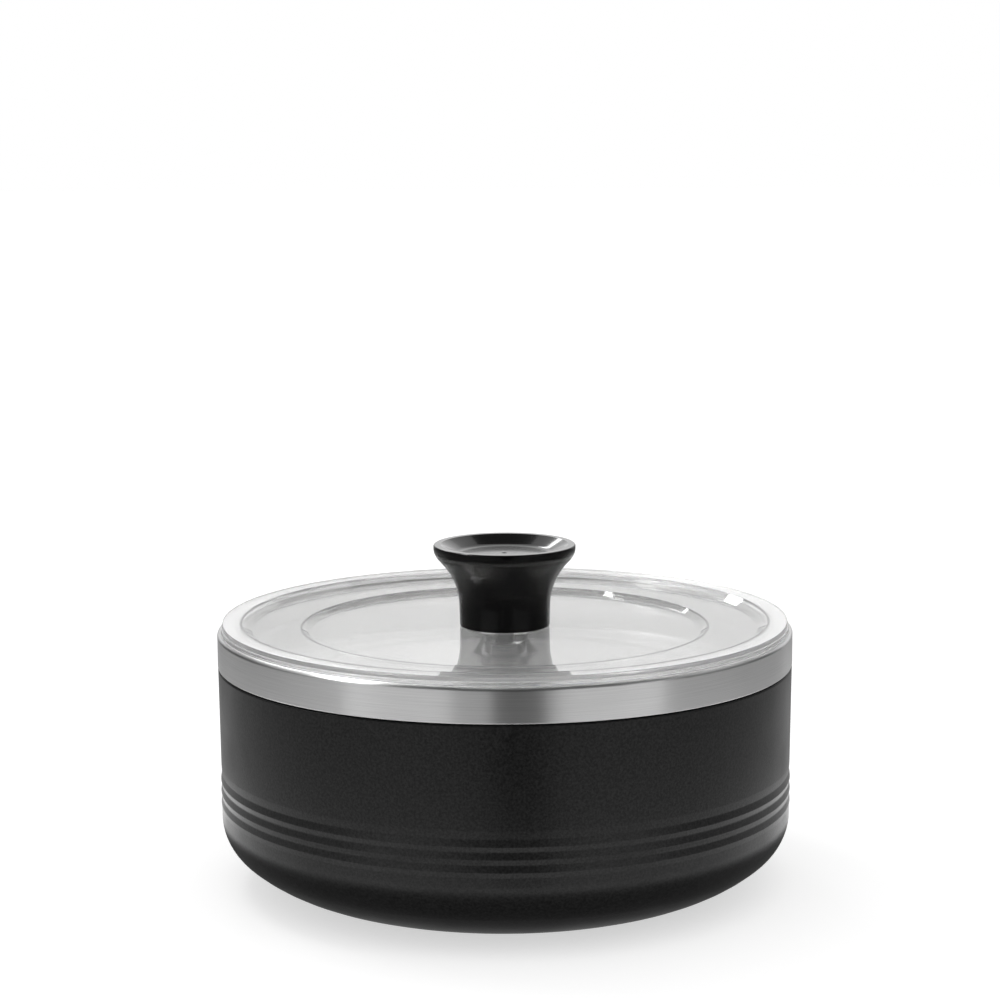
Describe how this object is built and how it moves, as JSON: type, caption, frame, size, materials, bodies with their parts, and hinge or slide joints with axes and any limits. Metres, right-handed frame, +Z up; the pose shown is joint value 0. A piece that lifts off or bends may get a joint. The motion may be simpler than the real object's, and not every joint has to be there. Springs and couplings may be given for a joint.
{
  "type": "insulated chapati casserole",
  "caption": "Round insulated casserole for flat breads: black steel shell with rolled beads, brushed rim band, clear stepped lift-off lid and a flared black knob.",
  "frame": {"origin": "centre of the base, in the plane that it stands on", "axes": "+Z up along the axis of the bowl and lid; round, so +X and +Y are free"},
  "size_m": [0.2304, 0.2304, 0.1362],
  "materials": {
    "shell_coat": "fine textured black powder coat, satin",
    "bowl_steel": "satin stainless steel",
    "band_steel": "brushed round the band",
    "foam": "rigid foam, pale yellow",
    "plug_plastic": "matt moulded plastic",
    "cover_clear": "polished clear plastic",
    "liner_clear": "polished clear plastic",
    "knob_black": "fine satin moulded plastic",
    "cap_black": "fine satin moulded plastic",
    "insert_brass": "machined",
    "screw_steel": "zinc plated",
    "washer_steel": "zinc plated",
    "washer_silicone": "translucent white silicone"
  },
  "bodies": {
    "base": {"outer_shell": "shell_coat", "inner_bowl": "bowl_steel", "rim_band": "band_steel", "insulation_foam": "foam", "filler_plug": "plug_plastic"},
    "lid": {"lid_cover": "cover_clear", "lid_liner": "liner_clear", "knob_body": "knob_black", "knob_cap": "cap_black", "knob_insert": "insert_brass", "knob_screw": "screw_steel", "screw_washer": "washer_steel", "seal_washer": "washer_silicone"}
  },
  "joints": [
    {"name": "lid_lift", "type": "slide", "parent": "base", "child": "lid", "axis": [0, 0, 1], "range_m": [0, 0.08]}
  ]
}
